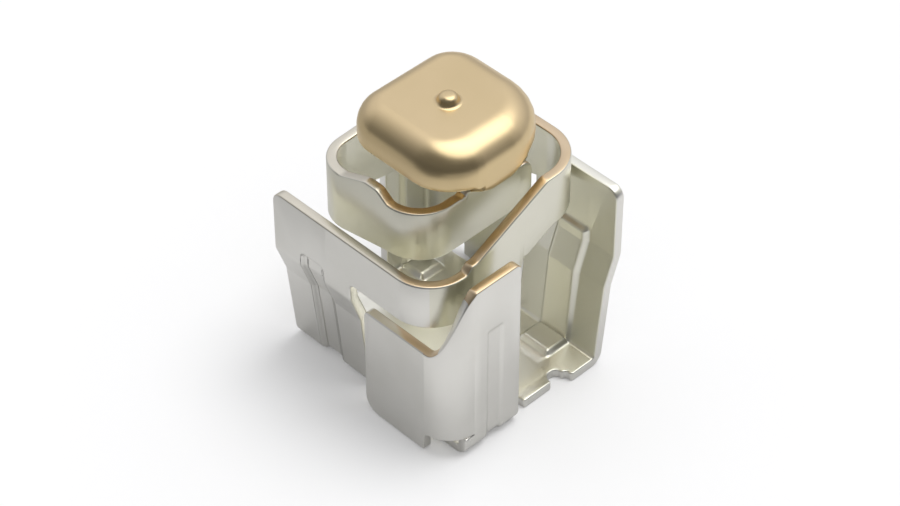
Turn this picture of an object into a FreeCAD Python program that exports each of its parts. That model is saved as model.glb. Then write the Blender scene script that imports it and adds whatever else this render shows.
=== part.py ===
import FreeCAD
import Part
import math
import os
from FreeCAD import Vector

# A stamped surface-mount spring contact, the folded stand-in for a turned pogo pin.
# One sheet of plated copper alloy is cut, folded and drawn into a square housing, a flat
# strip that rises round the inside as a spring coil, and a pillow-shaped contact head.
# Millimetres, +Z up. The origin is the middle of the solder base's underside.

# Sheet and housing
sheet = 0.15                # thickness of the strip
housing_x = 3.40            # over the two plain flanks
housing_y = 3.28            # over the two joggled walls
bend_inside = 0.06          # inside radius of the folds at the base
fold_inside = 0.10          # inside radius of the two joggle folds

# Joggled walls: one at the front, and its free twin at the back
wall_length = 1.50          # from the wall's outer end to the slit
front_wall_top = 2.87       # this wall runs on into the spring
back_wall_top = 3.03
joggle_top = 1.85           # where the wall starts to slant inwards
joggle_bottom = 1.37        # where the slant ends
joggle_depth = 0.17         # how far the slant moves the wall inwards
wall_lean = 0.15            # further lean from the slant down to the base
wall_corner = 0.17          # radius of the wall's outer top corner
slit_corner = 0.10
foot_corner = 0.07

# Flank, wrapped corner and flap, with a twin half a turn round
flank_top = 2.93
flank_end = 0.31            # from the middle of the housing to the flank's free edge
flank_corner = 0.11
wrap_radius = 0.50          # outside radius of the upright corner
window_top = 0.33           # height of the window under the upright corner
flank_foot = 0.31           # from the flap's face to the foot of the flank
flap_top = 1.85
flap_end = 0.06             # the flap's free edge, past the middle of the housing
flap_corner = 0.10
flap_foot_corner = 0.25
flap_gap = 0.02             # the flap's lower edge clears the board by this
rise_start = 24.0           # degrees round the corner where its top edge starts to rise
rise_end = 78.0

# Base: its free edges, slots and notches
base_setback = 0.10         # the free edge lies this far inside the flank's face
base_front = 1.33           # from the middle to the free edge behind the flap
slot_width = 0.21
slot_run = 0.07             # how far a slot runs past the fold beside it
notch_radius = 0.12
notch_depth = 0.25
notch_place = 0.55          # from the middle of the housing to the notch
shoulder_place = 0.74       # from there outwards the base has its full width
shoulder_round = 0.07

# Stiffening ribs pressed inwards
rib_depth = 0.08
rib_top = 2.10
rib_run = 0.34              # how far a rib runs onto the base past the fold
rib_flare = 0.07            # its swell on the inside is this much wider on each side
wall_rib_width = 0.45
wall_rib_place = 0.53       # from the wall's outer end
flank_rib_width = 0.33
flank_rib_place = 0.31      # from the flank's free edge

# Spring coil: places of its outer faces, and outside radii of its corners
coil_right = 1.33
coil_back = 1.40
coil_left = 1.33
coil_gap = 0.22             # between the front wall and the second turn
coil_inner = 0.75           # last side, which carries the head
front_corner = 0.62
right_corner = 0.71
back_corner = 0.62
left_corner = 0.53
inner_corner = 0.59

# Spring coil: heights of its edges
coil_bottom = 2.14          # lower edge at the front corner
coil_top = 3.60             # level top edge round the right and back corners
right_under = 2.76
back_under = 2.36
left_top = 3.51
left_under = 2.57
hump_top = 3.69
inner_top = 3.55
inner_under = 2.74
end_top = 3.45              # top edge of the strip's free end
step_start = -0.93          # the top edge of the first side steps up here
step_run = 0.07
step_height = 0.10
ramp_start = -0.76
ramp_end = 0.53
heel_start = -0.29          # the lower edge starts to climb here
heel_end = 0.08             # and steps up here
heel_under = 2.30
heel_step = 2.52
heel_level = 0.10           # short level run after the step
hump_start = -0.74
hump_level_start = -0.28
hump_level_end = -0.04
strip_end = 0.84
strip_corner = 0.18
lower_corner = 0.12
edge_round = 0.06           # soft corners of the coil's edges

# Head and its neck
head_x = 0.07
head_size_x = 2.04
head_size_y = 2.10
head_top = 4.54
head_depth = 0.62           # from the top down to the skirt's lower edge
head_edge = 0.38            # radius of the head's upper edge
head_lip = 0.11             # radius of the skirt's lower edge
head_right_corner = 0.88
head_front_corner = 0.69
head_left_corner = 0.53
head_back_corner = 0.55
neck_start = -0.42
neck_end = 0.33
neck_flare = 0.23           # run over which each side of the neck flares up to the skirt
neck_drop = 0.40            # from the skirt's edge down to where the neck leaves the strip's plane
neck_lift = 0.15            # its sides leave it this much higher
neck_rise = 0.20            # rise of its slope
neck_radius = 0.08
bump_radius = 0.12
bump_height = 0.12
bump_edge = 0.07
bump_root = 0.05
dimple_radius = 0.06

half_x = housing_x / 2.0
half_y = housing_y / 2.0
bend_outside = bend_inside + sheet
inner_front = half_y - sheet - coil_gap
head_skirt = head_top - head_depth
neck_root = head_skirt - neck_drop
deep = housing_x + housing_y
UP = Vector(0.0, 0.0, 1.0)
CENTRE = Vector(0.0, 0.0, 0.0)


def plan(a, b):
    """Places a drawing in the plan view."""
    return Vector(a, b, 0.0)


def front_view(a, b):
    """Places a drawing of x and z, seen from the front."""
    return Vector(a, 0.0, b)


def side_view(a, b):
    """Places a drawing of y and z, seen from the side."""
    return Vector(0.0, a, b)


def wall_section(a, b):
    """Places a section drawn outwards and up on the front wall."""
    return Vector(0.0, -a, b)


def corner_arc(before, corner, after, radius):
    """The start, middle and end of the arc that rounds one corner of an outline."""
    back = (before - corner).normalize()
    ahead = (after - corner).normalize()
    half_angle = back.getAngle(ahead) / 2.0
    reach = radius / math.tan(half_angle)
    bisector = (back + ahead).normalize()
    centre = corner + bisector * (radius / math.sin(half_angle))
    return corner + back * reach, centre - bisector * radius, corner + ahead * reach


def outline_edges(corners, place, closed):
    """Lines and tangent arcs through corners given as (a, b, radius)."""
    points = [place(a, b) for a, b, radius in corners]
    count = len(points)
    edges = []
    ends = []
    for index, (a, b, radius) in enumerate(corners):
        if radius <= 0.0 or (not closed and index in (0, count - 1)):
            ends.append((points[index], points[index]))
            continue
        arc = corner_arc(points[index - 1], points[index], points[(index + 1) % count], radius)
        edges.append(Part.Arc(*arc).toShape())
        ends.append((arc[0], arc[2]))
    for index in range(count if closed else count - 1):
        start = ends[index][1]
        end = ends[(index + 1) % count][0]
        if start.distanceToPoint(end) > 1e-7:
            edges.append(Part.makeLine(start, end))
    return edges


def face_of(edges):
    """The flat face inside a ring of edges that are given in any order."""
    return Part.Face(Part.Wire(Part.__sortEdges__(edges)))


def plate(corners, place, start, depth):
    """A flat piece with a rounded outline, drawn out from start by depth."""
    face = face_of(outline_edges(corners, place, True))
    face.translate(start)
    return face.extrude(depth)


def layer_line(corners, depth):
    """The open outline moved to its left by depth, with its arcs kept concentric."""
    rays = []
    for first, second in zip(corners[:-1], corners[1:]):
        run = Vector(second[0] - first[0], second[1] - first[1], 0.0).normalize()
        shift = Vector(-run.y, run.x, 0.0) * depth
        rays.append((Vector(first[0], first[1], 0.0) + shift, run))
    last_run = rays[-1][1]
    last = Vector(corners[-1][0], corners[-1][1], 0.0) + Vector(-last_run.y, last_run.x, 0.0) * depth
    moved = [(rays[0][0].x, rays[0][0].y, 0.0)]
    for corner, (start, run), (other, ahead) in zip(corners[1:-1], rays[:-1], rays[1:]):
        turn = run.x * ahead.y - run.y * ahead.x
        gap = other - start
        point = start + run * ((gap.x * ahead.y - gap.y * ahead.x) / turn)
        inward = 1.0 if turn > 0.0 else -1.0
        moved.append((point.x, point.y, corner[2] - inward * depth))
    moved.append((last.x, last.y, 0.0))
    return moved


def layer_edges(corners, near, far, place):
    """The ring of edges round the strip between two depths behind an open section line."""
    lines = [layer_line(corners, near), layer_line(corners, far)]
    edges = []
    for line in lines:
        edges += outline_edges(line, place, False)
    for index in (0, -1):
        ends = [place(line[index][0], line[index][1]) for line in lines]
        edges.append(Part.makeLine(ends[0], ends[1]))
    return edges


def layer(corners, near, far, place, start, depth):
    """Strip between two depths behind an open section line, drawn out sideways."""
    face = face_of(layer_edges(corners, near, far, place))
    face.translate(start)
    return face.extrude(depth)


def box(x_low, x_high, y_low, y_high, z_low, z_high):
    """A block between two corners."""
    corner = Vector(x_low, y_low, z_low)
    return Part.makeBox(x_high - x_low, y_high - y_low, z_high - z_low, corner)


def turned(shape):
    """The twin of a piece, half a turn round the middle of the housing."""
    twin = shape.copy()
    twin.rotate(CENTRE, UP, 180.0)
    return twin


def quarter(x_centre, y_centre, radius, first_angle, z_low, z_high):
    """A quarter turn of upright strip that starts at first_angle, in degrees."""
    middle = Vector(x_centre, y_centre, z_low)
    height = z_high - z_low
    sector = Part.makeCylinder(radius, height, middle, UP, 90.0)
    sector = sector.cut(Part.makeCylinder(radius - sheet, height, middle, UP, 90.0))
    sector.rotate(middle, UP, first_angle)
    return sector


def with_rib(panel, section, rib_low, rib_high, place, along):
    """A panel with a rib pressed inwards between two places, from the base up to rib_top."""
    start = along * rib_low
    depth = along * (rib_high - rib_low)
    above = box(-deep, deep, -deep, deep, rib_top, deep)
    recess = layer(section, 0.0, rib_depth, place, start, depth).cut(above)
    start -= along * rib_flare
    depth += along * (2.0 * rib_flare)
    swell = layer(section, sheet, sheet + rib_depth, place, start, depth).cut(above)
    return panel.cut(recess).fuse(swell)


def wall_profile(top):
    """Outer line of a joggled wall, from the base outwards and up."""
    foot = half_y - joggle_depth - wall_lean
    return [
        (foot - bend_outside - rib_run, 0.0, 0.0),
        (foot, 0.0, bend_outside),
        (half_y - joggle_depth, joggle_bottom, fold_inside),
        (half_y, joggle_top, fold_inside + sheet),
        (half_y, top, 0.0),
    ]


def joggled_wall(top, right_end, outline):
    """The front wall's folded section, trimmed to its outline in the front view."""
    along = Vector(1.0, 0.0, 0.0)
    section = wall_profile(top)
    wall = layer(section, 0.0, sheet, wall_section, along * -half_x, along * (right_end + half_x))
    rib_low = wall_rib_place - half_x
    wall = with_rib(wall, section, rib_low, rib_low + wall_rib_width, wall_section, along)
    return wall.common(plate(outline, front_view, Vector(0.0, -deep, 0.0), Vector(0.0, deep, 0.0)))


def front_wall():
    """The wall that runs on past the slit as the start of the spring."""
    slit = wall_length - half_x
    right_end = coil_right - front_corner
    outline = [
        (-half_x, 0.0, foot_corner),
        (slit, 0.0, foot_corner),
        (slit, coil_bottom, slit_corner),
        (right_end, coil_bottom, 0.0),
        (right_end, front_wall_top, 0.0),
        (-half_x, front_wall_top, wall_corner),
    ]
    return joggled_wall(front_wall_top, right_end, outline)


def back_wall():
    """The free wall at the back: the same pressing with a plain top edge."""
    slit = wall_length - half_x
    outline = [
        (-half_x, 0.0, foot_corner),
        (slit, 0.0, foot_corner),
        (slit, back_wall_top, slit_corner),
        (-half_x, back_wall_top, wall_corner),
    ]
    return turned(joggled_wall(back_wall_top, slit, outline))


def flank():
    """The plain side folded up from the base, with its rib."""
    along = Vector(0.0, 1.0, 0.0)
    section = [
        (half_x - bend_outside - rib_run, 0.0, 0.0),
        (half_x, 0.0, bend_outside),
        (half_x, flank_top, 0.0),
    ]
    low = flank_foot - half_y
    side = layer(section, 0.0, sheet, front_view, along * low, along * (-flank_end - low))
    rib_high = -flank_end - flank_rib_place
    side = with_rib(side, section, rib_high - flank_rib_width, rib_high, front_view, along)
    outline = [
        (low, 0.0, 0.0),
        (-flank_end, 0.0, foot_corner),
        (-flank_end, flank_top, flank_corner),
        (wrap_radius - half_y, flank_top, 0.0),
        (wrap_radius - half_y, window_top, 0.0),
        (low, window_top, 0.0),
    ]
    return side.common(plate(outline, side_view, CENTRE, Vector(deep, 0.0, 0.0)))


def rising_cut(x_centre, y_centre):
    """What lies above the corner's sloping top edge: a screw surface drawn straight up."""
    rails = []
    for radius in (wrap_radius - 2.0 * sheet, wrap_radius + sheet):
        points = []
        for step in range(9):
            share = step / 8.0
            angle = math.radians(rise_start + (rise_end - rise_start) * share - 90.0)
            height = flap_top + (flank_top - flap_top) * share
            spot = Vector(radius * math.cos(angle), radius * math.sin(angle), height)
            points.append(spot + Vector(x_centre, y_centre, 0.0))
        curve = Part.BSplineCurve()
        curve.interpolate(points)
        rails.append(curve.toShape())
    return Part.makeRuledSurface(rails[0], rails[1]).extrude(UP * deep)


def wrapped_corner():
    """The upright corner that joins flank and flap, with its top edge climbing between them."""
    x_centre = half_x - wrap_radius
    y_centre = wrap_radius - half_y
    corner = quarter(x_centre, y_centre, wrap_radius, -90.0, window_top, flank_top)
    middle = Vector(x_centre, y_centre, flap_top)
    level = Part.makeCylinder(wrap_radius + sheet, deep, middle, UP, rise_start)
    level.rotate(middle, UP, -90.0)
    return corner.cut(level).cut(rising_cut(x_centre, y_centre))


def flap():
    """The free flap at the end of the wrapped corner."""
    outline = [
        (flap_end, flap_gap, flap_foot_corner),
        (half_x - wrap_radius, flap_gap, 0.0),
        (half_x - wrap_radius, flap_top, 0.0),
        (flap_end, flap_top, flap_corner),
    ]
    return plate(outline, front_view, Vector(0.0, -half_y, 0.0), Vector(0.0, sheet, 0.0))


def half_base():
    """The front half of the solder base, up to the middle line."""
    wall_fold = half_y - joggle_depth - wall_lean - bend_outside
    flank_fold = half_x - bend_outside
    free_side = half_x - base_setback
    slit = wall_length - half_x
    outline = [
        (free_side, 0.0, 0.0),
        (free_side, -(flank_end - slot_width), 0.0),
        (flank_fold - slot_run, -(flank_end - slot_width), slot_width / 2.1),
        (flank_fold - slot_run, -flank_end, slot_width / 2.1),
        (flank_fold, -flank_end, 0.0),
        (flank_fold, -base_front, 0.0),
        (slit + slot_width, -base_front, 0.0),
        (slit + slot_width, -(wall_fold - slot_run), slot_width / 2.1),
        (slit, -(wall_fold - slot_run), slot_width / 2.1),
        (slit, -wall_fold, 0.0),
        (-half_x, -wall_fold, 0.0),
        (-half_x, -shoulder_place, shoulder_round),
        (-free_side, -shoulder_place, 0.0),
        (-free_side, 0.0, 0.0),
    ]
    half = plate(outline, plan, CENTRE, UP * sheet)
    inner = half_x - notch_depth + notch_radius
    notch = Part.makeCylinder(notch_radius, sheet, Vector(-inner, -notch_place, 0.0), UP)
    mouth = box(-half_x, -inner, -notch_place - notch_radius, -notch_place + notch_radius, 0.0, sheet)
    return half.cut(notch).cut(mouth)


def coil_first_side():
    """The side that climbs from the front corner to the right one, with its step and heel."""
    low = front_corner - half_y
    high = coil_back - right_corner
    climb = (coil_top - front_wall_top - step_height) / (ramp_end - ramp_start)
    heel_run = (right_under - heel_step) / climb
    outline = [
        (low, coil_bottom, 0.0),
        (heel_start, coil_bottom, edge_round),
        (heel_end, heel_under, 0.0),
        (heel_end, heel_step, 0.0),
        (heel_end + heel_level, heel_step, edge_round),
        (heel_end + heel_level + heel_run, right_under, edge_round),
        (high, right_under, 0.0),
        (high, coil_top, 0.0),
        (ramp_end, coil_top, edge_round),
        (ramp_start, front_wall_top + step_height, edge_round),
        (step_start + step_run, front_wall_top + step_height, 0.0),
        (step_start, front_wall_top, 0.0),
        (low, front_wall_top, 0.0),
    ]
    return plate(outline, side_view, Vector(coil_right, 0.0, 0.0), Vector(-sheet, 0.0, 0.0))


def coil_back_side():
    """The level side along the back wall; its lower edge drops towards the back corner."""
    low = back_corner - coil_left
    high = coil_right - right_corner
    outline = [
        (low, back_under, 0.0),
        (high, right_under, 0.0),
        (high, coil_top, 0.0),
        (low, coil_top, 0.0),
    ]
    return plate(outline, front_view, Vector(0.0, coil_back, 0.0), Vector(0.0, -sheet, 0.0))


def coil_left_side():
    """The side along the left flank, from the back corner to the left one."""
    low = left_corner - inner_front
    high = coil_back - back_corner
    outline = [
        (low, left_under, 0.0),
        (high, back_under, 0.0),
        (high, coil_top, 0.0),
        (low, left_top, 0.0),
    ]
    return plate(outline, side_view, Vector(-coil_left, 0.0, 0.0), Vector(sheet, 0.0, 0.0))


def coil_second_front():
    """The side behind the front wall, widened by a hump so that the head can pass."""
    low = left_corner - coil_left
    high = coil_inner - inner_corner
    outline = [
        (low, left_under, 0.0),
        (hump_start, left_under, edge_round),
        (high, inner_under, 0.0),
        (high, inner_top, 0.0),
        (hump_level_end, hump_top, edge_round),
        (hump_level_start, hump_top, edge_round),
        (hump_start, left_top, edge_round),
        (low, left_top, 0.0),
    ]
    return plate(outline, front_view, Vector(0.0, -inner_front, 0.0), Vector(0.0, sheet, 0.0))


def coil_last_side():
    """The last side, which ends free behind the neck."""
    low = inner_corner - inner_front
    outline = [
        (low, inner_under, 0.0),
        (strip_end, inner_under, lower_corner),
        (strip_end, end_top, strip_corner),
        (neck_end, end_top, edge_round),
        (neck_end, inner_top, 0.0),
        (low, inner_top, 0.0),
    ]
    return plate(outline, side_view, Vector(coil_inner, 0.0, 0.0), Vector(-sheet, 0.0, 0.0))


def coil_corners():
    """The five level corners of the coil, in the order in which the strip passes them."""
    right = coil_right - right_corner
    left = left_corner - coil_left
    return [
        quarter(coil_right - front_corner, front_corner - half_y, front_corner, -90.0,
                coil_bottom, front_wall_top),
        quarter(right, coil_back - right_corner, right_corner, 0.0, right_under, coil_top),
        quarter(back_corner - coil_left, coil_back - back_corner, back_corner, 90.0,
                back_under, coil_top),
        quarter(left, left_corner - inner_front, left_corner, 180.0, left_under, left_top),
        quarter(coil_inner - inner_corner, inner_corner - inner_front, inner_corner, -90.0,
                inner_under, inner_top),
    ]


def pillow(inset, z_low, z_high, edge):
    """A rounded square block whose upper edge is rounded, inset all round."""
    right = head_x + head_size_x / 2.0 - inset
    left = head_x - head_size_x / 2.0 + inset
    reach = head_size_y / 2.0 - inset
    outline = [
        (left, -reach, head_left_corner - inset),
        (right, -reach, head_front_corner - inset),
        (right, reach, head_right_corner - inset),
        (left, reach, head_back_corner - inset),
    ]
    block = plate(outline, plan, UP * z_low, UP * (z_high - z_low))
    rim = [e for e in block.Edges if min(v.Z for v in e.Vertexes) > z_high - 1e-6]
    return block.makeFillet(edge, rim)


def bump():
    """The small contact bump, with a soft root on the head's flat top."""
    shoulder = bump_height - bump_edge
    root_angle = math.radians(45.0)
    points = [
        Vector(0.0, 0.0, -sheet / 2.0),
        Vector(bump_radius + bump_root, 0.0, -sheet / 2.0),
        Vector(bump_radius + bump_root, 0.0, 0.0),
        Vector(bump_radius, 0.0, bump_root),
        Vector(bump_radius, 0.0, shoulder),
        Vector(bump_radius - bump_edge, 0.0, bump_height),
        Vector(0.0, 0.0, bump_height),
    ]
    root_middle = Vector(bump_radius + bump_root * (1.0 - math.sin(root_angle)), 0.0,
                         bump_root * (1.0 - math.cos(root_angle)))
    edge_middle = Vector(bump_radius - bump_edge * (1.0 - math.cos(root_angle)), 0.0,
                         shoulder + bump_edge * math.sin(root_angle))
    edges = [
        Part.makeLine(points[0], points[1]),
        Part.makeLine(points[1], points[2]),
        Part.Arc(points[2], root_middle, points[3]).toShape(),
        Part.Arc(points[4], edge_middle, points[5]).toShape(),
        Part.makeLine(points[5], points[6]),
        Part.makeLine(points[6], points[0]),
    ]
    if shoulder > bump_root:
        edges.append(Part.makeLine(points[3], points[4]))
    spun = face_of(edges).revolve(CENTRE, UP, 360.0)
    spun.translate(Vector(head_x, 0.0, head_top))
    return spun


def head():
    """The drawn cap: a pillow hollowed from below, its skirt's edge turned in, and the bump."""
    outside = pillow(0.0, head_skirt, head_top, head_edge)
    foot = [e for e in outside.Edges if max(v.Z for v in e.Vertexes) < head_skirt + 1e-6]
    outside = outside.makeFillet(head_lip, foot)
    inside = pillow(sheet, head_skirt, head_top - sheet, head_edge - sheet)
    middle = Vector(head_x, 0.0, head_top - sheet)
    dimple = Part.makeSphere(dimple_radius, middle)
    return outside.cut(inside).fuse(bump()).cut(dimple)


def neck_section(y, root):
    """The neck's S-shaped section at one place along the strip."""
    skirt = head_x + head_size_x / 2.0
    section = [
        (coil_inner, inner_under + lower_corner, 0.0),
        (coil_inner, root, neck_radius),
        (skirt, root + neck_rise, neck_radius + sheet),
        (skirt, head_skirt + 2.0 * head_lip, 0.0),
    ]
    edges = layer_edges(section, 0.0, sheet, front_view)
    wire = Part.Wire(Part.__sortEdges__(edges))
    wire.translate(Vector(0.0, y, 0.0))
    return wire


def neck():
    """The drawn neck that carries the skirt's right side on the last side of the coil."""
    sections = [
        neck_section(neck_start, neck_root + neck_lift),
        neck_section(neck_start + neck_flare, neck_root),
        neck_section(neck_end - neck_flare, neck_root),
        neck_section(neck_end, neck_root + neck_lift),
    ]
    return Part.makeLoft(sections, True, True)


def spring_contact():
    """Everything joined into the one folded strip."""
    fold_half = [half_base(), flank(), wrapped_corner(), flap()]
    pieces = fold_half + [turned(piece) for piece in fold_half]
    pieces += [front_wall(), back_wall()]
    pieces += [coil_first_side(), coil_back_side(), coil_left_side(), coil_second_front()]
    pieces += [coil_last_side(), neck(), head()]
    pieces += coil_corners()
    whole = pieces[0].multiFuse(pieces[1:])
    return whole.removeSplitter()


os.makedirs("parts", exist_ok=True)
contact = spring_contact()
print("spring_contact", contact.isValid(), "solids", len(contact.Solids), "faces", len(contact.Faces),
      "volume", round(contact.Volume, 4), "box", contact.BoundBox)
contact.Solids[0].exportStep("parts/spring_contact.step")
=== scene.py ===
import math
import bmesh
import bpy
from mathutils import Matrix, Vector


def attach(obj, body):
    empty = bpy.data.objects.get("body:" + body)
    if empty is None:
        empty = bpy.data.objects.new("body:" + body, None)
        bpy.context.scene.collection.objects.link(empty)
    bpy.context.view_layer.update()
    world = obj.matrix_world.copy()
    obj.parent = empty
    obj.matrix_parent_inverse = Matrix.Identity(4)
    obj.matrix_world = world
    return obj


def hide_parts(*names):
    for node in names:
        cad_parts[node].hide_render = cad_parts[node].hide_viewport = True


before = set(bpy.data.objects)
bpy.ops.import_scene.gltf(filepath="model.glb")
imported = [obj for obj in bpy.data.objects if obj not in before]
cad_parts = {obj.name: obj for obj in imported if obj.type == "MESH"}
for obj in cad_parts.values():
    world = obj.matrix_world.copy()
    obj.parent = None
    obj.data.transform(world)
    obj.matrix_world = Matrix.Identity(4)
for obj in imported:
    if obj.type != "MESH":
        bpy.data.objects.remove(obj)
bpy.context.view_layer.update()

scene = bpy.context.scene
MM = 0.001


# Camera and studio: a long lens looks down over the contact's front corner.
# The contact stands on pale paper in a light tent, under one broad soft lamp. What metal mirrors
# of the tent is dim on the lens's side and bright overhead, so that folds and roundings show.
azimuth = math.radians(45.57)
elevation = math.radians(42.72)
look_at = Vector((0.348, -0.303, 2.217)) * MM
distance = 38.39 * MM
forward = Vector((-math.sin(azimuth) * math.cos(elevation),
                  math.cos(azimuth) * math.cos(elevation),
                  -math.sin(elevation)))
lens = bpy.data.cameras.new("product_lens")
lens.lens = 114.43
lens.sensor_width = 36.0
lens.clip_start = 0.001
lens.clip_end = 10.0
camera = bpy.data.objects.new("product_camera", lens)
camera.location = look_at - forward * distance
camera.rotation_euler = forward.to_track_quat("-Z", "Y").to_euler()
scene.collection.objects.link(camera)
scene.camera = camera
scene.view_settings.view_transform = "Standard"


class Signal:
    """A shader value that takes arithmetic; an expression on it adds its Math nodes."""

    def __init__(self, tree, output=None):
        self.tree = tree
        self.output = output

    def node(self, kind, settings, inputs, result=0):
        """One node, its settings first, then the values or links of its sockets."""
        made = self.tree.nodes.new(kind)
        for name, value in settings.items():
            setattr(made, name, value)
        for name, value in inputs.items():
            if isinstance(value, Signal):
                self.tree.links.new(value.output, made.inputs[name])
            else:
                made.inputs[name].default_value = value
        return Signal(self.tree, made.outputs[result])

    def maths(self, operation, first, second):
        return self.node("ShaderNodeMath", {"operation": operation}, {0: first, 1: second})

    def __add__(self, other):
        return self.maths("ADD", self, other)

    def __radd__(self, other):
        return self.maths("ADD", other, self)

    def __sub__(self, other):
        return self.maths("SUBTRACT", self, other)

    def __rsub__(self, other):
        return self.maths("SUBTRACT", other, self)

    def __mul__(self, other):
        return self.maths("MULTIPLY", self, other)

    def __rmul__(self, other):
        return self.maths("MULTIPLY", other, self)

    def smooth(self, low, high):
        """Zero below low, one above high, and an eased step between."""
        return self.node("ShaderNodeMapRange", {"interpolation_type": "SMOOTHSTEP"},
                         {"Value": self, "From Min": low, "From Max": high})

    def along(self, direction):
        """How far a place or a direction lies along a direction."""
        return self.node("ShaderNodeVectorMath", {"operation": "DOT_PRODUCT"},
                         {0: self, 1: direction}, "Value")

    def tinted(self, first, second):
        """The first colour where the value is zero, and the second where it is one."""
        return self.node("ShaderNodeMix", {"data_type": "RGBA"},
                         {"Factor": self, 6: first, 7: second}, 2)

    def ray(self, kind):
        """One for rays of that kind, such as Is Camera Ray, and zero for the others."""
        return self.node("ShaderNodeLightPath", {}, {}, kind)


white = (1.0, 1.0, 1.0, 1.0)
cool_white = (0.98, 0.985, 1.06, 1.0)
lens_side, overhead = (0.610, -0.792, 0.0), (0.140, 0.255, 0.957)
side_light, top_light, softbox_light, room_light = 0.47, 0.27, 1.40, 0.72
dusk_depth = 0.80

world = bpy.data.worlds.new("light_tent")
world.use_nodes = True
world.node_tree.nodes.clear()
tent = Signal(world.node_tree)
direction = tent.node("ShaderNodeTexCoord", {}, {}, "Generated")
height = tent.node("ShaderNodeSeparateXYZ", {}, {"Vector": direction}, "Z")
dusk = direction.along(lens_side).smooth(-0.45, 0.45)
softbox = direction.along(overhead).smooth(0.80, 0.92)
reflected = (side_light + height.smooth(0.0, 0.60) * top_light) * (1.0 - dusk * dusk_depth)
reflected = reflected + softbox * softbox_light
mirrored = tent.ray("Is Glossy Ray")
shown = tent.maths("MAXIMUM", tent.ray("Is Camera Ray"), tent.ray("Is Transmission Ray"))
level = mirrored * reflected + (1.0 - mirrored) * room_light
level = shown + level * (1.0 - shown)
cool = mirrored * (1.0 - dusk) * (1.0 - softbox) * (1.0 - shown)
glow = tent.node("ShaderNodeBackground", {},
                 {"Color": cool.tinted(white, cool_white), "Strength": level})
sky = world.node_tree.nodes.new("ShaderNodeOutputWorld")
world.node_tree.links.new(glow.output, sky.inputs["Surface"])
scene.world = world

lamp = bpy.data.lights.new("soft_lamp", "SUN")
lamp.energy = 1.2
lamp.angle = math.radians(35.0)
lamp_object = bpy.data.objects.new("soft_lamp", lamp)
lamp_object.rotation_euler = Vector((-0.14, -0.30, -1.0)).to_track_quat("-Z", "Y").to_euler()
lamp_object.visible_glossy = False
scene.collection.objects.link(lamp_object)

paper_colour = (0.86, 0.86, 0.866, 1.0)
paper_lift, paper_shade = 0.09, 0.13
left_side, near_side = (-0.700, -0.714, 0.0), (0.714, -0.700, 0.0)
left_depth, near_depth, foot_depth, plain_depth = 0.38, 0.45, 0.22, 0.24

floor_shape = bmesh.new()
bmesh.ops.create_circle(floor_shape, cap_ends=True, segments=96, radius=60.0 * MM)
floor_mesh = bpy.data.meshes.new("pale_floor")
floor_shape.to_mesh(floor_mesh)
floor_shape.free()
floor = bpy.data.objects.new("pale_floor", floor_mesh)
scene.collection.objects.link(floor)
floor.location = (0.0, 0.0, -0.002 * MM)
paper = bpy.data.materials.new("pale_paper")
paper.use_nodes = True
paper.node_tree.nodes.clear()
page = Signal(paper.node_tree)
paper_matt = page.node("ShaderNodeBsdfDiffuse", {}, {"Color": paper_colour})
paper_glow = page.node("ShaderNodeEmission", {},
                       {"Color": white, "Strength": page.ray("Is Camera Ray") * paper_lift})
paper_seen = page.node("ShaderNodeAddShader", {}, {0: paper_matt, 1: paper_glow})
# As metal mirrors it, the floor is painted darker by mixing in a dim emission: painted shade on its
# left side, a painted dim reflection far off on the lens's side, painted contact shade near the
# contact's foot, and a little painted shade everywhere.
spot = page.node("ShaderNodeTexCoord", {}, {}, "Object")
away = page.node("ShaderNodeVectorMath", {"operation": "LENGTH"}, {0: spot}, "Value")
left_painted_shade = spot.along(left_side).smooth(0.5 * MM, 8.0 * MM) * left_depth
near_painted_shade = spot.along(near_side).smooth(3.0 * MM, 12.0 * MM) * near_depth
foot_painted_shade = (1.0 - away.smooth(2.3 * MM, 3.9 * MM)) * foot_depth
mirrored_painted_shade = page.ray("Is Glossy Ray") * (left_painted_shade + near_painted_shade + foot_painted_shade + plain_depth)
paper_painted_shade = page.node("ShaderNodeEmission", {}, {"Color": white, "Strength": paper_shade})
paper_face = page.node("ShaderNodeMixShader", {}, {0: mirrored_painted_shade, 1: paper_seen, 2: paper_painted_shade})
paper_out = paper.node_tree.nodes.new("ShaderNodeOutputMaterial")
paper.node_tree.links.new(paper_face.output, paper_out.inputs["Surface"])
floor_mesh.materials.append(paper)


# Solder base: the flat middle of the blank, stamped from 0.15 mm copper-alloy strip.
# It lies on the board, with slots beside its folds and notches in its free edges. The walls and
# flanks are folded up from it, and the ribs pressed into them run a little way onto it.
flank_face = 1.70
fold_radius = 0.21
wall_foot = 1.32
wall_lean = 0.15
joggle_foot = 1.37
lean = math.atan2(wall_lean, joggle_foot)
wall_fold = wall_foot - fold_radius * math.tan((math.pi / 2.0 - lean) / 2.0)
flank_fold = flank_face - fold_radius
slit = -0.20
flank_end = 0.31
flank_low = 1.33
base_edge = 1.60
slot_side, slot_end, slot_round = 0.10, 1.42, 0.10
notch_low, notch_high, notch_depth, notch_round = 0.43, 0.67, 1.45, 0.115

wall_rib, wall_rib_half, wall_rib_zone = -0.945, 0.225, 0.32
flank_rib, flank_rib_half, flank_rib_zone = -0.785, 0.165, 0.26
rib_gaps = (-0.105, -0.075, -0.055, -0.035, -0.015, 0.005, 0.025, 0.045, 0.065, 0.085)
wall_scores = [wall_rib + side * (wall_rib_half + gap) for side in (-1, 1) for gap in rib_gaps]
flank_scores = [flank_rib + side * (flank_rib_half + gap) for side in (-1, 1) for gap in rib_gaps]
wall_rib_start, flank_rib_start = 0.535, 1.065
wall_rib_ramp = (-0.82, -0.79, -0.76, -0.73, -0.70)
flank_rib_ramp = (1.08, 1.11, 1.14, 1.17, 1.20)
X, Y, Z = Vector((1, 0, 0)), Vector((0, 1, 0)), Vector((0, 0, 1))


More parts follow.
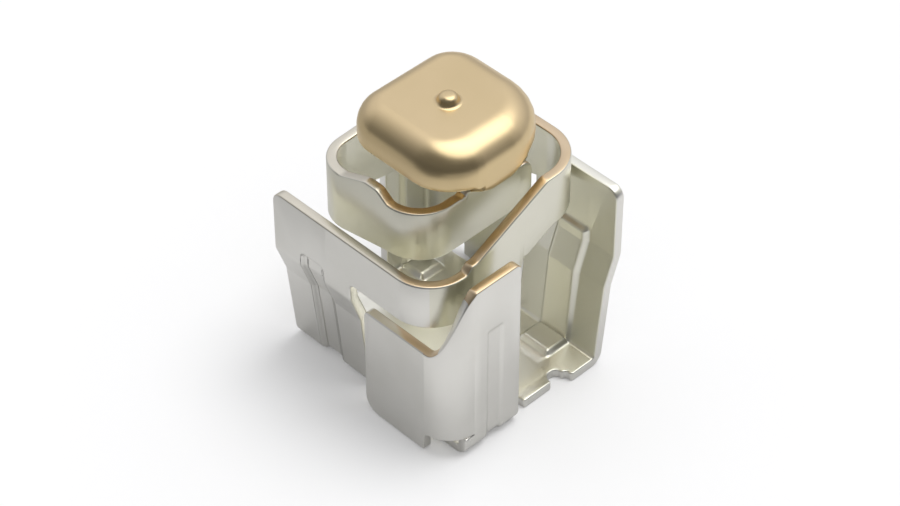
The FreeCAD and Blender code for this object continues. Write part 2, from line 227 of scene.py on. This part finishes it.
def trimmed(corners, place):
    """A flat piece of sheet through corners (a, b, rounding), each rounded by a vertex bevel."""
    piece = bmesh.new()
    points = [piece.verts.new(place(a, b)) for a, b, rounding in corners]
    piece.faces.new(points)
    for point, (a, b, rounding) in zip(points, corners):
        if rounding > 0.0:
            bmesh.ops.bevel(piece, geom=[point], offset=rounding, offset_type="OFFSET", segments=8,
                            profile=0.5, affect="VERTICES", material=-1)
    return piece


def scored(piece, places, axis, inside=lambda middle: True):
    """Cuts the sheet's faces at places along an axis, where the press shapes it later."""
    for place in places:
        faces = [f for f in piece.faces if inside(f.calc_center_median())]
        edges = {e for f in faces for e in f.edges}
        verts = {v for f in faces for v in f.verts}
        bmesh.ops.bisect_plane(piece, geom=list(verts) + list(edges) + faces, dist=1e-5,
                               plane_co=axis * place, plane_no=axis)


def joined(whole, piece, turned=False):
    """Adds a piece to the whole sheet, as it is or turned half round the housing."""
    if turned:
        bmesh.ops.rotate(piece, cent=Vector(), matrix=Matrix.Rotation(math.pi, 3, "Z"),
                         verts=piece.verts)
    carrier = bpy.data.meshes.new("carrier")
    piece.to_mesh(carrier)
    whole.from_mesh(carrier)
    piece.free()
    bpy.data.meshes.remove(carrier)


half_outline = [
    # the back edge of the right half, and its slot beside the flank
    (base_edge, -slot_side, 0.0), (slot_end, -slot_side, slot_round),
    (slot_end, -flank_end, slot_round),
    # the flank's fold, and the front edge behind the flap
    (flank_fold, -flank_end, 0.0), (flank_fold, -flank_low, 0.0), (0.01, -flank_low, 0.0),
    # the slot at the wall's slit, and the wall's fold
    (0.01, -1.04, 0.10), (slit, -1.04, 0.10), (slit, -wall_fold, 0.0),
    (-flank_face, -wall_fold, 0.0),
    # the shoulder and the round notch in the left edge
    (-flank_face, -0.735, 0.05), (-base_edge, -0.735, 0.03), (-1.57, -notch_high, 0.03),
    (-notch_depth, -notch_high, notch_round), (-notch_depth, -notch_low, notch_round),
    (-base_edge, -notch_low, 0.0),
]
outline = half_outline + [(-a, -b, rounding) for a, b, rounding in half_outline]
base = trimmed(outline, lambda a, b: Vector((a, b, 0.0)))
scored(base, (-flank_rib_start, flank_rib_start), X)
scored(base, (-wall_rib_start, wall_rib_start), Y)
for sign in (1, -1):
    scored(base, [sign * place for place in wall_scores], X,
           lambda m: sign * m.y < -wall_rib_start)
    scored(base, [sign * place for place in flank_scores], Y,
           lambda m: sign * m.x > flank_rib_start)
    scored(base, [sign * place for place in wall_rib_ramp], Y,
           lambda m: abs(sign * m.x - wall_rib) < wall_rib_zone and sign * m.y < -0.5)
    scored(base, [sign * place for place in flank_rib_ramp], X,
           lambda m: abs(sign * m.y - flank_rib) < flank_rib_zone and sign * m.x > 0.5)
contact = bmesh.new()
joined(contact, base)


# Joggled walls: the front wall runs on into the spring, and its twin at the back is free.
# Each is the same plated strip, folded up from the base, stepped outwards by a joggle and parted
# from the flap beside it by a slit.
wall_face = 1.64
panel_foot = 1.96
rib_tops = (2.00, 2.02, 2.04, 2.06, 2.08, 2.10, 2.12)
front_top, back_top = 2.87, 3.03
strip_root, strip_under = 0.71, 2.14
wall_corner, slit_corner = 0.17, 0.10
joggle_top, joggle_depth = 1.85, 0.17
front_outline = [
    (-flank_face, panel_foot, 0.0), (slit, panel_foot, 0.0), (slit, strip_under, slit_corner),
    (strip_root, strip_under, 0.0), (strip_root, front_top, 0.0),
    (-flank_face, front_top, wall_corner),
]
back_outline = [
    (-flank_face, panel_foot, 0.0), (slit, panel_foot, 0.0), (slit, back_top, slit_corner),
    (-flank_face, back_top, wall_corner),
]
wall_section = [
    (wall_face, panel_foot, 0.0), (wall_face, joggle_top, 0.25),
    (wall_face - joggle_depth, joggle_foot, 0.10), (wall_foot, 0.0, fold_radius), (0.0, 0.0, 0.0),
]


def pushed(piece, edges, vector):
    """Draws the sheet's edge out straight and returns the new edge."""
    made = bmesh.ops.extrude_edge_only(piece, edges=edges)["geom"]
    verts = [g for g in made if isinstance(g, bmesh.types.BMVert)]
    bmesh.ops.translate(piece, verts=verts, vec=vector)
    fresh = set(verts)
    return [g for g in made if isinstance(g, bmesh.types.BMEdge) and set(g.verts) <= fresh]


def bent(piece, edges, centre, axis, angle, steps):
    """Bends the sheet's edge round a centre and returns the new edge."""
    made = bmesh.ops.spin(piece, geom=edges + list({v for e in edges for v in e.verts}),
                          cent=centre, axis=axis, dvec=Vector(), angle=angle,
                          space=Matrix.Identity(4), steps=steps, use_merge=False,
                          use_normal_flip=False, use_duplicate=False)
    return [g for g in made["geom_last"] if isinstance(g, bmesh.types.BMEdge)]


def folded(piece, edges, corners, across, steps):
    """Carries the sheet's edge down a section through corners (a, z, radius)."""
    axis = across.cross(Z)
    places = [across * a + Z * z for a, z, radius in corners]
    used = 0.0
    for index in range(1, len(corners) - 1):
        ahead = (places[index] - places[index - 1]).normalized()
        onward = (places[index + 1] - places[index]).normalized()
        angle = math.atan2(axis.dot(ahead.cross(onward)), ahead.dot(onward))
        radius = corners[index][2]
        reach = radius * math.tan(abs(angle) / 2.0)
        run = (places[index] - places[index - 1]).length - used - reach
        edges = pushed(piece, edges, ahead * run)
        side = 1.0 if angle > 0.0 else -1.0
        centre = places[index] - ahead * reach + axis.cross(ahead) * (radius * side)
        edges = bent(piece, edges, centre, axis, angle, max(2, round(abs(angle) * steps)))
        used = reach


def edges_at(piece, test):
    """The sheet's open edges whose two ends pass a test."""
    return [e for e in piece.edges if len(e.link_faces) == 1 and all(test(v.co) for v in e.verts)]


for turned, wall_outline in ((False, front_outline), (True, back_outline)):
    wall = trimmed(wall_outline, lambda a, b: Vector((a, -wall_face, b)))
    scored(wall, wall_scores, X)
    scored(wall, rib_tops, Z, lambda m: abs(m.x - wall_rib) < wall_rib_zone)
    foot = edges_at(wall, lambda co: co.z < panel_foot + 1e-4)
    folded(wall, foot, wall_section, -Y, 10.0)
    joined(contact, wall, turned)


# Flanks, wrapped corners and flaps: the plain sides of the same strip, folded up from the base.
# Each is wrapped round one upright corner and ends in a low flap. Its top edge climbs from the
# flap to the flank, and a small window is cut under the corner.
wrap_radius = 0.50
wrap_start = -wall_face + wrap_radius
corner_middle = Vector((flank_face - wrap_radius, wrap_start, 0.0))
flank_top, flank_corner = 2.93, 0.11
window_top, window_rise, window_turn = 0.33, 0.09, 12.0
flap_top, flap_foot, flap_end, flap_side_foot = 1.85, 0.02, 0.06, 0.24
flap_corner, flap_foot_corner = 0.10, 0.25
climb_start, climb_turn = 24.0, 54.0
flank_outline = [
    (-flank_low, fold_radius, 0.0), (-flank_end, fold_radius, 0.0),
    (-flank_end, flank_top, flank_corner), (wrap_start, flank_top, 0.0),
    (wrap_start, window_top, 0.0), (-flank_low, window_top, 0.02),
]
flap_outline = [
    (corner_middle.x, flap_top, 0.0), (corner_middle.x, flap_side_foot, 0.0),
    (corner_middle.x, flap_foot, 0.0), (flap_end, flap_foot, flap_foot_corner),
    (flap_end, flap_top, flap_corner),
]


def climb(degrees):
    """Height of the corner's top edge, by the angle round from the flap, with a soft start."""
    total = 0.0
    for shift in range(-16, 17, 4):
        share = min(max((degrees + shift - climb_start) / climb_turn, 0.0), 1.0)
        total += flap_top + (flank_top - flap_top) * share
    return total / 9.0


for turned in (False, True):
    side = trimmed(flank_outline, lambda a, b: Vector((flank_face, a, b)))
    scored(side, flank_scores, Y)
    scored(side, rib_tops, Z, lambda m: abs(m.y - flank_rib) < flank_rib_zone)
    foot = edges_at(side, lambda co: co.z < fold_radius + 1e-4)
    bent(side, foot, Vector((flank_fold, 0.0, fold_radius)), Y, math.pi / 2.0, 10)
    upright = edges_at(side, lambda co: abs(co.y - wrap_start) < 1e-4 and co.z > window_top - 0.01)
    bent(side, upright, corner_middle, Z, -math.pi / 2.0, 30)
    for vert in side.verts:
        if vert.co.y > wrap_start - 1e-4:
            continue
        around = math.degrees(math.atan2(vert.co.x - corner_middle.x, wrap_start - vert.co.y))
        if vert.co.z > flank_top - 0.03:
            vert.co.z = climb(around)
        elif vert.co.z > window_top - 0.01 and around < window_turn:
            share = 1.0 - max(around, 0.0) / window_turn
            vert.co.z -= window_rise * (1.0 - math.sqrt(1.0 - share ** 2))
    joined(contact, side, turned)
    flap = trimmed(flap_outline, lambda a, b: Vector((a, -wall_face, b)))
    joined(contact, flap, turned)


# Spring coil: the strip that rises round the inside of the housing on five bends.
# It is blanked in one with the front wall, with a stepped lower edge, a ramp and a hump in its
# top edge, and flexes when the head is pressed. Its last side carries the head.
strip_side = 0.75
strip_end, end_round, end_foot_round = 0.84, 0.18, 0.12
last_under, last_top = 2.74, 3.45
coil_runs = [
    # middle and radius of the bend, direction and length of the side after it,
    # and the side's lower and top edge as corners (place along the side, height)
    ((strip_root, -1.02), 0.62, Y, 1.71,
     ((0.0, strip_under), (0.73, strip_under), (1.10, 2.30), (1.101, 2.52), (1.20, 2.52),
      (1.69, 2.76), (1.71, 2.76)),
     ((0.0, front_top), (0.09, front_top), (0.16, 2.97), (0.26, 2.97), (1.55, 3.60),
      (1.71, 3.60))),
    ((0.62, 0.69), 0.71, -X, 1.33, ((0.0, 2.76), (1.33, 2.36)), ((0.0, 3.60), (1.33, 3.60))),
    ((-0.71, 0.78), 0.62, -Y, 1.52, ((0.0, 2.36), (1.52, 2.57)), ((0.0, 3.60), (1.52, 3.51))),
    ((-0.80, -0.74), 0.53, X, 0.96, ((0.0, 2.57), (0.06, 2.57), (0.96, last_under)),
     ((0.0, 3.51), (0.06, 3.51), (0.52, 3.69), (0.76, 3.69), (0.96, 3.55))),
    ((0.16, -0.68), 0.59, Y, 1.52, ((0.0, last_under), (1.52, last_under)),
     ((0.0, 3.55), (0.16, 3.55), (0.38, 3.46), (1.10, last_top), (1.52, last_top))),
]
bend_steps = 12
side_step = 0.02
# columns beside the neck's sides and the strip's end that the rolled edges leave no room for
crowded_steps = (13, 51, 75)


def soft(line, place, reach=0.03):
    """Height of an edge given as corners (place, height), with the corners eased."""
    total = 0.0
    for shift in (-1.0, -0.5, 0.0, 0.5, 1.0):
        spot = place + shift * reach
        height = line[0][1]
        for (start, low), (end, high) in zip(line[:-1], line[1:]):
            if spot >= start:
                height = low + (high - low) * min((spot - start) / max(end - start, 1e-6), 1.0)
        total += height
    return total / 5.0


def set_heights(edges, under, top):
    """Moves a fresh upright edge of the strip to the heights of its lower and upper ends."""
    low, high = sorted({v for e in edges for v in e.verts}, key=lambda v: v.co.z)
    low.co.z = under
    high.co.z = top


strip = bmesh.new()
root_low = strip.verts.new((strip_root, -wall_face, strip_under))
root_high = strip.verts.new((strip_root, -wall_face, front_top))
edge = [strip.edges.new((root_low, root_high))]
for run in coil_runs:
    middle, radius, along, length, under_line, top_line = run
    for step in range(bend_steps):
        edge = bent(strip, edge, Vector((middle[0], middle[1], 0.0)), Z,
                    math.pi / 2.0 / bend_steps, 1)
        set_heights(edge, under_line[0][1], top_line[0][1])
    count = round(length / side_step)
    done = 0.0
    for step in range(1, count + 1):
        place = length * step / count
        if run is coil_runs[-1] and step in crowded_steps:
            continue
        edge = pushed(strip, edge, along * (place - done))
        set_heights(edge, soft(under_line, place), soft(top_line, place))
        done = place

for vert in strip.verts:
    co = vert.co
    if abs(co.x - strip_side) < 1e-4:
        top_run, foot_run = co.y - (strip_end - end_round), co.y - (strip_end - end_foot_round)
        if co.z > 3.2 and top_run > 0.0:
            co.z = last_top - end_round + math.sqrt(max(end_round ** 2 - top_run ** 2, 0.0))
        if co.z < 3.0 and foot_run > 0.0:
            drop = math.sqrt(max(end_foot_round ** 2 - foot_run ** 2, 0.0))
            co.z = last_under + end_foot_round - drop


# Contact head and neck: a cap drawn from the same strip, with a turned-in skirt, plated gold.
# The neck is the S-shaped slope between the top edge of the strip's last side and the skirt's
# right side. Its sides flare into both by fillets.
neck_low, neck_high = -0.42, 0.33
neck_flare = 0.09
neck_rows = 14
neck_edge_low, neck_edge_high = -0.44, 0.36
neck_foot, neck_foot_fall = 3.5504, 0.0756
neck_score = 3.40
strip_top_front, strip_top_back = 3.517, 3.452
skirt_drop, skirt_drop_fall = 0.0334, 0.0105
# how far the neck's S runs on from the skirt, at its sides and in its middle, and from the strip
head_handle, head_handle_swell, strip_handle = 0.10, 0.16, 0.12
handle_ease = 0.23
head_left, head_right, head_reach = -0.95, 1.09, 1.05
head_top, head_round, head_foot, lip = 4.54, 0.38, 3.92, 0.11
front_right, back_right = 0.69, 0.88
head_corners = [
    (head_left, -head_reach, 0.53), (head_right, -head_reach, front_right),
    (head_right, head_reach, back_right), (head_left, head_reach, 0.55),
]
flat_left, flat_right, flat_ease = -0.64, 0.63, 0.20
round_steps = 14


def neck_share(y):
    """How far a point of the neck's edge lies from the neck's front side to its back side."""
    return (y - neck_edge_low) / (neck_edge_high - neck_edge_low)


def eased(value, low, high):
    """Zero at low, one at high, and an eased step between."""
    share = min(max((value - low) / (high - low), 0.0), 1.0)
    return share * share * (3.0 - 2.0 * share)


def fillet(y):
    """Rise of the edge beside the neck, as far as the column where the neck's side takes over."""
    run = max(neck_flare - max(neck_low - y, y - neck_high), 0.0)
    return neck_flare - math.sqrt(max(neck_flare ** 2 - run ** 2, 0.0))


def spread(rise):
    """How far the neck's side lies outwards at a height over its foot, or under its head."""
    left = max(neck_flare - max(rise, 0.0), 0.0)
    return neck_flare - math.sqrt(neck_flare ** 2 - left ** 2)


def outward(co):
    """The direction square to the head's outline at a point."""
    for a, b, radius in head_corners:
        middle = Vector((a - math.copysign(radius, a), b - math.copysign(radius, b), 0.0))
        offset = Vector((co.x - middle.x, co.y - middle.y, 0.0))
        if offset.x * a > -1e-5 and offset.y * b > -1e-5 and offset.length > 1e-6:
            return offset.normalized()
    sides = [(abs(co.x - head_right + head_round), X), (abs(co.x - head_left - head_round), -X),
             (abs(co.y - head_reach + head_round), Y), (abs(co.y + head_reach - head_round), -Y)]
    return min(sides, key=lambda pair: pair[0])[1]


def drawn_in(co):
    """The flat top's rim: the rounding is wider on the right side and narrower on the left."""
    x = co.x
    if x > flat_ease:
        pull = (flat_right - flat_ease) / (head_right - head_round - flat_ease)
        x = flat_ease + (x - flat_ease) * pull
    elif x < -flat_ease:
        pull = (flat_left + flat_ease) / (head_left + head_round + flat_ease)
        x = -flat_ease + (x + flat_ease) * pull
    return Vector((x, co.y, co.z))


def drawn_on(piece, edges, tracks):
    """Draws a new row of sheet from an edge; each new point takes the track of its old one."""
    made = bmesh.ops.extrude_edge_only(piece, edges=edges)["geom"]
    fresh = {g for g in made if isinstance(g, bmesh.types.BMVert)}
    onward = {}
    for vert in fresh:
        origin = min(tracks, key=lambda v: (v.co - vert.co).length_squared)
        onward[vert] = tracks[origin]
    return [g for g in made if isinstance(g, bmesh.types.BMEdge) and set(g.verts) <= fresh], onward


strip_top = []
for vert in strip.verts:
    co = vert.co
    if abs(co.x - strip_side) < 1e-4 and co.z > 3.3:
        share = neck_share(co.y)
        if 0.0 < share < 1.0:
            co.z = neck_foot - neck_foot_fall * share
        else:
            co.z += fillet(co.y)
        if co.y > -0.67:
            strip_top.append(co.copy())
scored(strip, (neck_score,), Z, lambda m: abs(m.x - strip_side) < 1e-3 and -0.68 < m.y < 0.6)
joined(contact, strip)

flat_corners = [(a - math.copysign(head_round, a), b - math.copysign(head_round, b),
                 radius - head_round) for a, b, radius in head_corners]
front_arc, back_arc = -head_reach + front_right, head_reach - back_right
neck_columns = []
# two columns lie too near the neck's sides for the rolled edges
crowded_columns = (5, 43)
for step in range(48):
    column = -0.52 + 0.02 * step
    if column < front_arc:
        column = front_arc + (column - front_arc) * (front_right - head_round) / front_right
    elif column > back_arc:
        column = back_arc + (column - back_arc) * (back_right - head_round) / back_right
    if step not in crowded_columns:
        neck_columns.append(column)

cap = trimmed(flat_corners, lambda a, b: Vector((a, b, head_top)))
scored(cap, (flat_ease,), X)
scored(cap, neck_columns, Y, lambda m: m.x > flat_ease)
stray = [v for v in cap.verts
         if v.co.x > flat_ease + 0.01 and neck_columns[0] < v.co.y < neck_columns[-1]
         and min(abs(v.co.y - column) for column in neck_columns) > 1e-4]
bmesh.ops.dissolve_verts(cap, verts=stray)
rim = edges_at(cap, lambda co: True)
tracks = {v: (drawn_in(v.co), v.co + outward(v.co) * head_round) for e in rim for v in e.verts}
for vert, (start, target) in tracks.items():
    vert.co = start
for step in range(1, round_steps + 1):
    angle = math.pi / 2.0 * step / round_steps
    drop = head_round * (1.0 - math.cos(angle))
    rim, tracks = drawn_on(cap, rim, tracks)
    for vert, (start, target) in tracks.items():
        vert.co = start.lerp(target, math.sin(angle)) - Z * drop
rim = pushed(cap, rim, Z * (head_foot + lip - head_top + head_round))
previous = 0.0
for degrees in (15.0, 30.0, 48.0, 90.0):
    now = lip * math.sin(math.radians(degrees))
    rim = pushed(cap, rim, Z * (previous - now))
    previous = now
for vert in {v for e in rim for v in e.verts}:
    if vert.co.x > 0.9:
        share = neck_share(vert.co.y)
        inside = 0.0 < share < 1.0
        vert.co.z -= skirt_drop - skirt_drop_fall * share if inside else fillet(vert.co.y)

neck_edge = [e for e in rim
             if all(v.co.x > 0.9 and neck_edge_low - 1e-4 < v.co.y < neck_edge_high + 1e-4
                    for v in e.verts)]
tracks = {v: v.co.copy() for e in neck_edge for v in e.verts}
for row in range(1, neck_rows + 1):
    neck_edge, tracks = drawn_on(cap, neck_edge, tracks)
    share = row / neck_rows
    for vert, start in tracks.items():
        across = neck_share(start.y)
        centred = neck_low + (neck_high - neck_low) * across
        inwards = eased(min(centred - neck_low, neck_high - centred), 0.0, handle_ease)
        foot = min(strip_top, key=lambda spot: abs(spot.y - start.y))
        upper = start.z - head_handle - head_handle_swell * inwards
        lower = foot.z + strip_handle
        a, b, c, d = ((1.0 - share) ** 3, 3.0 * share * (1.0 - share) ** 2,
                      3.0 * share ** 2 * (1.0 - share), share ** 3)
        x = start.x * (a + b) + strip_side * (c + d)
        z = start.z * a + upper * b + lower * c + foot.z * d
        low_y = neck_low - max(spread(z - strip_top_front), spread(head_foot - z))
        high_y = neck_high + max(spread(z - strip_top_back), spread(head_foot - z))
        y = low_y + (high_y - low_y) * across
        vert.co = foot if row == neck_rows else (x, y, z)
joined(contact, cap)

bmesh.ops.remove_doubles(contact, verts=contact.verts, dist=0.0015)
bmesh.ops.recalc_face_normals(contact, faces=contact.faces)
if min(contact.faces, key=lambda f: f.calc_center_median().z).normal.z > 0.0:
    bmesh.ops.reverse_faces(contact, faces=contact.faces)


# The folded contact: the whole sheet takes its thickness, its ribs, its soft edges and its plating.
# Copper alloy under satin nickel, with warm gold on the head and on the upper cut edges. The ribs
# are pressed in from outside, and tumbling before plating has rolled every cut edge.
sheet = 0.15
wall_rib_depth, flank_rib_depth = 0.055, 0.03
rib_side, rib_side_run = -0.015, 0.04
rib_swell, rib_swell_run, fold_swell = 0.08, 0.08, 0.6
rib_end_low, rib_end_high = 2.03, 2.11
on_base = 0.3
skirt_ease = 0.14
sharp = math.radians(42.0)
rolled_radius = 0.024
head_from, skirt_from = 3.70, 3.84
head_middle = (head_left + head_right) / 2.0
outer = set(contact.verts)
bmesh.ops.solidify(contact, geom=contact.faces[:], thickness=sheet)
contact.normal_update()
moves = {}
for vert in contact.verts:
    co = vert.co
    outside = vert in outer
    for sign in (1, -1):
        x, y = sign * co.x, sign * co.y
        near_wall = y < -0.6 and x < slit
        near_flank = x > 1.0 and y < -flank_end
        if near_wall:
            gap = abs(x - wall_rib) - wall_rib_half
            run = eased(y, -0.70, -0.78) if co.z < on_base else 1.0
            depth = wall_rib_depth
        elif near_flank:
            gap = abs(y - flank_rib) - flank_rib_half
            run = eased(x, 1.08, 1.16) if co.z < on_base else 1.0
            depth = flank_rib_depth
        else:
            continue
        if outside:
            amount = depth * min(max((rib_side - gap) / rib_side_run, 0.0), 1.0)
        else:
            amount = rib_swell * (1.0 - eased(gap, 0.0, rib_swell_run))
        amount *= run * (1.0 - eased(co.z, rib_end_low, rib_end_high))
        past_fold = (near_wall and y < -wall_fold) or (near_flank and x > flank_fold)
        if not outside and past_fold and co.z < fold_radius:
            amount *= fold_swell
        if amount > 1e-5:
            moves[vert] = vert.normal * (-amount if outside else amount)
for vert, move in moves.items():
    vert.co += move
for vert in outer:
    co = vert.co
    if head_foot - 1e-4 <= co.z < head_foot + lip - 1e-4:
        beside = 1.0
        if co.x > 0.9:
            beside = max(neck_low - neck_flare - co.y, co.y - neck_high - neck_flare, 0.0)
        depth = head_foot + lip - co.z
        turn_in = lip - math.sqrt(max(lip * lip - depth * depth, 0.0))
        vert.co -= outward(co) * (turn_in * eased(beside, 0.0, skirt_ease))

contact.normal_update()
rolled = contact.edges.layers.float.new("bevel_weight_edge")
for edge in contact.edges:
    high = max(vert.co.z for vert in edge.verts)
    at = edge.verts[0].co
    under_head = abs(at.x - head_middle) < 1.1 and abs(at.y) < 1.1
    if edge.calc_face_angle(0.0) > sharp:
        edge[rolled] = 1.0 - eased(high, head_from, skirt_from) if under_head else 1.0

outer_skin, inner_skin, cut_edge, head_skin, coil_skin = range(5)
gold_from, coil_edges_from = 1.8, 2.95
upward, coil_upward = 0.55, 0.3
for face in contact.faces:
    face.smooth = True
    sides = [vert in outer for vert in face.verts]
    middle = face.calc_center_median()
    if middle.z > head_from:
        face.material_index = head_skin
    elif all(sides):
        # the coil's outer faces inside the housing take the nickel with painted shade
        in_housing = abs(middle.x) < 1.45 and abs(middle.y) < 1.45 and middle.z > 2.2
        face.material_index = coil_skin if in_housing else outer_skin
    elif not any(sides):
        # inner faces take the nickel with painted bounced light
        face.material_index = inner_skin
    elif (middle.z > gold_from
          and face.normal.z > (coil_upward if middle.z > coil_edges_from else upward)):
        # the back wall's top cut edges take the nickel with painted bounced light instead of gold
        on_back_wall = middle.y > 1.50 and middle.z > 2.80
        face.material_index = inner_skin if on_back_wall else cut_edge
    else:
        face.material_index = outer_skin


def plating(name, dull, bright, rough, grain, pale_edge=None):
    """One metal finish: colour between dull and bright, roughness, and depth of the rolled lines.

    At the left and along the front wall, it takes the paler colour given last.
    """
    material = bpy.data.materials.new(name)
    material.use_nodes = True
    tree = material.node_tree
    tree.nodes.clear()
    metal = Signal(tree)
    place = metal.node("ShaderNodeTexCoord", {}, {}, "Object")
    drawn = metal.node("ShaderNodeMapping", {},
                       {"Vector": place, "Scale": (700.0, 700.0, 26000.0)})
    lines = metal.node("ShaderNodeTexNoise", {"noise_dimensions": "3D"},
                       {"Vector": drawn, "Scale": 1.0, "Detail": 3.0, "Roughness": 0.6}, "Fac")
    pores = metal.node("ShaderNodeTexNoise", {"noise_dimensions": "3D"},
                       {"Vector": place, "Scale": 30000.0, "Detail": 2.0}, "Fac")
    cloud = metal.node("ShaderNodeTexNoise", {"noise_dimensions": "3D"},
                       {"Vector": place, "Scale": 1100.0, "Detail": 3.0}, "Fac")
    tint = cloud.smooth(0.30, 0.70).tinted(dull, bright)
    if pale_edge:
        across = metal.node("ShaderNodeSeparateXYZ", {}, {"Vector": place}, "X")
        back = metal.node("ShaderNodeSeparateXYZ", {}, {"Vector": place}, "Y")
        slant = across + back * 2.0 + 2.39 * MM
        own_tone_share = metal.maths("MINIMUM", slant.smooth(-0.15 * MM, 0.05 * MM),
                           across.smooth(-0.90 * MM, -0.60 * MM))
        tint = own_tone_share.tinted(pale_edge, tint)
    shine = rough + lines * 0.06 + cloud * 0.05
    relief = metal.node("ShaderNodeBump", {},
                        {"Height": lines * 0.7 + pores * 0.3, "Strength": grain,
                         "Distance": 0.002 * MM}, "Normal")
    surface = metal.node("ShaderNodeBsdfPrincipled", {},
                         {"Base Color": tint, "Metallic": 1.0, "Roughness": shine,
                          "Normal": relief})
    output = tree.nodes.new("ShaderNodeOutputMaterial")
    tree.links.new(surface.output, output.inputs["Surface"])
    return material


satin_nickel = plating("satin_nickel", (0.93, 0.915, 0.86, 1.0), (0.97, 0.955, 0.905, 1.0),
                       rough=0.26, grain=0.22)
# A brighter, warmer copy of the same nickel: painted bounced light on the inner faces and on the
# back wall's top cut edges.
nickel_with_painted_bounce = plating("nickel_with_painted_bounce", (0.97, 0.955, 0.83, 1.0), (1.0, 0.985, 0.87, 1.0),
                      rough=0.26, grain=0.22)
# A darker, warmer copy of the same nickel: painted shade on the coil's outer faces inside the
# housing.
nickel_with_painted_shade = plating("nickel_with_painted_shade", (0.90, 0.88, 0.76, 1.0), (0.94, 0.92, 0.80, 1.0),
                       rough=0.26, grain=0.22)
edge_gold = plating("gold_cut_edge", (0.78, 0.61, 0.39, 1.0), (0.84, 0.67, 0.45, 1.0),
                    rough=0.24, grain=0.30, pale_edge=(0.85, 0.80, 0.66, 1.0))
head_gold = plating("head_gold", (0.82, 0.645, 0.365, 1.0), (0.85, 0.67, 0.39, 1.0),
                    rough=0.24, grain=0.12)

bmesh.ops.scale(contact, vec=(MM, MM, MM), verts=contact.verts)
mesh = bpy.data.meshes.new("folded_contact")
contact.to_mesh(mesh)
contact.free()
for finish in (satin_nickel, nickel_with_painted_bounce, edge_gold, head_gold, nickel_with_painted_shade):
    mesh.materials.append(finish)
folded_contact = bpy.data.objects.new("folded_contact", mesh)
scene.collection.objects.link(folded_contact)
rounding = folded_contact.modifiers.new("rolled_edges", "BEVEL")
rounding.width = rolled_radius * MM
rounding.segments = 3
rounding.limit_method = "WEIGHT"
rounding.use_clamp_overlap = False
flats = folded_contact.modifiers.new("flat_panels", "WEIGHTED_NORMAL")
flats.mode = "FACE_AREA"
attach(folded_contact, "root")
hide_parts("spring_contact")


# Bump: the small raised point in the middle of the head that touches the pad.
# It is coined up from the head's own gold-plated sheet, with a rounded top and a soft root.
bump_place = (0.052, -0.045, head_top)
bump_height, bump_flat = 0.120, 0.055
profile = [(0.0, bump_height), (0.03, bump_height - 0.0005)]
profile += [(bump_flat + 0.085 * math.sin(math.radians(a)),
             0.035 + 0.083 * math.cos(math.radians(a))) for a in range(10, 81, 10)]
profile += [(0.195 - 0.05 * math.cos(math.radians(a)),
             0.046 - 0.046 * math.sin(math.radians(a))) for a in range(15, 91, 15)]
profile += [(0.215, -0.01)]
bump = bmesh.new()
spots = [bump.verts.new((radius, 0.0, z)) for radius, z in profile]
lines = [bump.edges.new(pair) for pair in zip(spots[:-1], spots[1:])]
bmesh.ops.spin(bump, geom=spots + lines, cent=Vector(), axis=Z, dvec=Vector(), angle=2.0 * math.pi,
               space=Matrix.Identity(4), steps=48, use_merge=True, use_normal_flip=False,
               use_duplicate=False)
bmesh.ops.remove_doubles(bump, verts=bump.verts, dist=1e-4)
bmesh.ops.recalc_face_normals(bump, faces=bump.faces)
if max(bump.faces, key=lambda f: f.calc_center_median().z).normal.z < 0.0:
    bmesh.ops.reverse_faces(bump, faces=bump.faces)
bmesh.ops.translate(bump, verts=bump.verts, vec=bump_place)
bmesh.ops.scale(bump, vec=(MM, MM, MM), verts=bump.verts)
for face in bump.faces:
    face.smooth = True
bump_mesh = bpy.data.meshes.new("contact_bump")
bump.to_mesh(bump_mesh)
bump.free()
bump_mesh.materials.append(head_gold)
contact_bump = bpy.data.objects.new("contact_bump", bump_mesh)
scene.collection.objects.link(contact_bump)
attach(contact_bump, "root")

bpy.context.view_layer.update()
